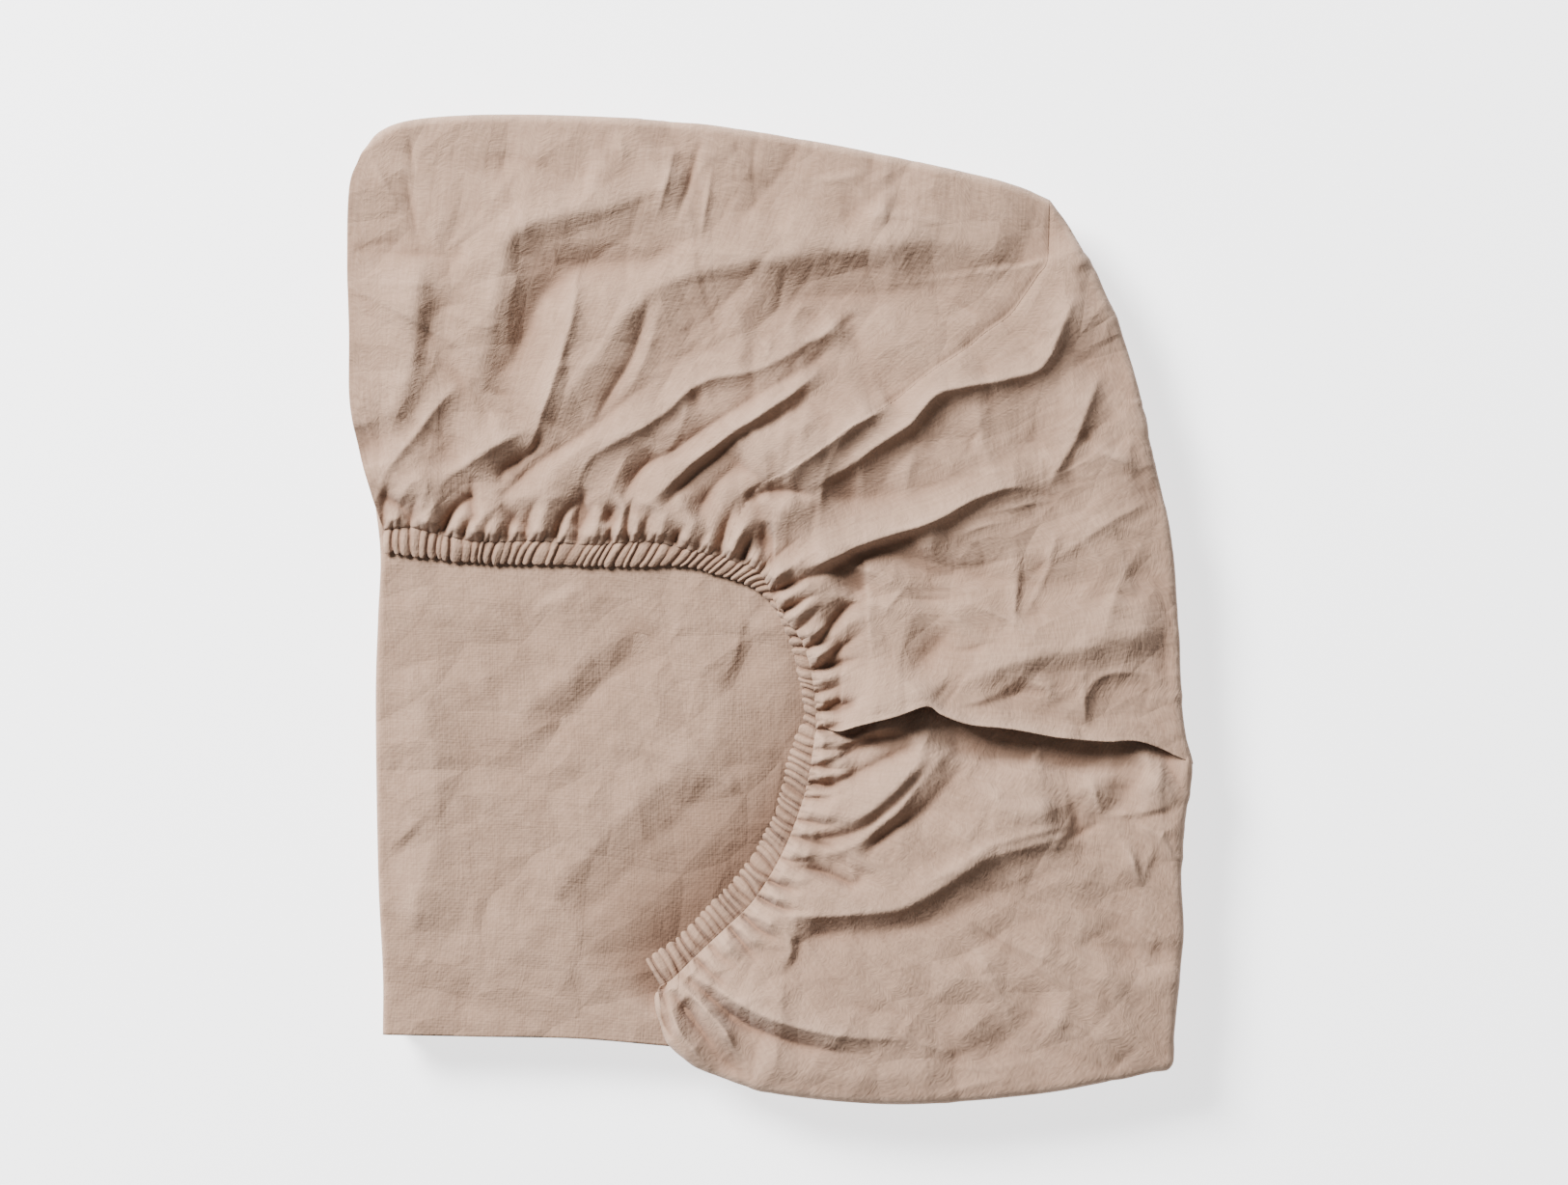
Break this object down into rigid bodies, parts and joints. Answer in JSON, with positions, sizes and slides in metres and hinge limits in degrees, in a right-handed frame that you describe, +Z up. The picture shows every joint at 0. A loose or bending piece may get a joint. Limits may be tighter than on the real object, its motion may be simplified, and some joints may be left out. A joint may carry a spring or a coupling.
{
  "type": "fitted sheet",
  "caption": "Fitted sheet folded to a soft parcel and laid flat: smooth base panel, with the crumpled skirt folded over it and ending in a gathered elastic hem.",
  "frame": {"origin": "middle of the parcel's box in plan, at the height of the surface it lies on", "axes": "+X to the right and +Y to the back as the picture shows the parcel from above, +Z up"},
  "size_m": [0.347, 0.408, 0.0393],
  "materials": {
    "washed_cotton": "matt, plain weave, warm clay beige"
  },
  "bodies": {
    "root": {"fitted_sheet": "washed_cotton"}
  },
  "joints": []
}
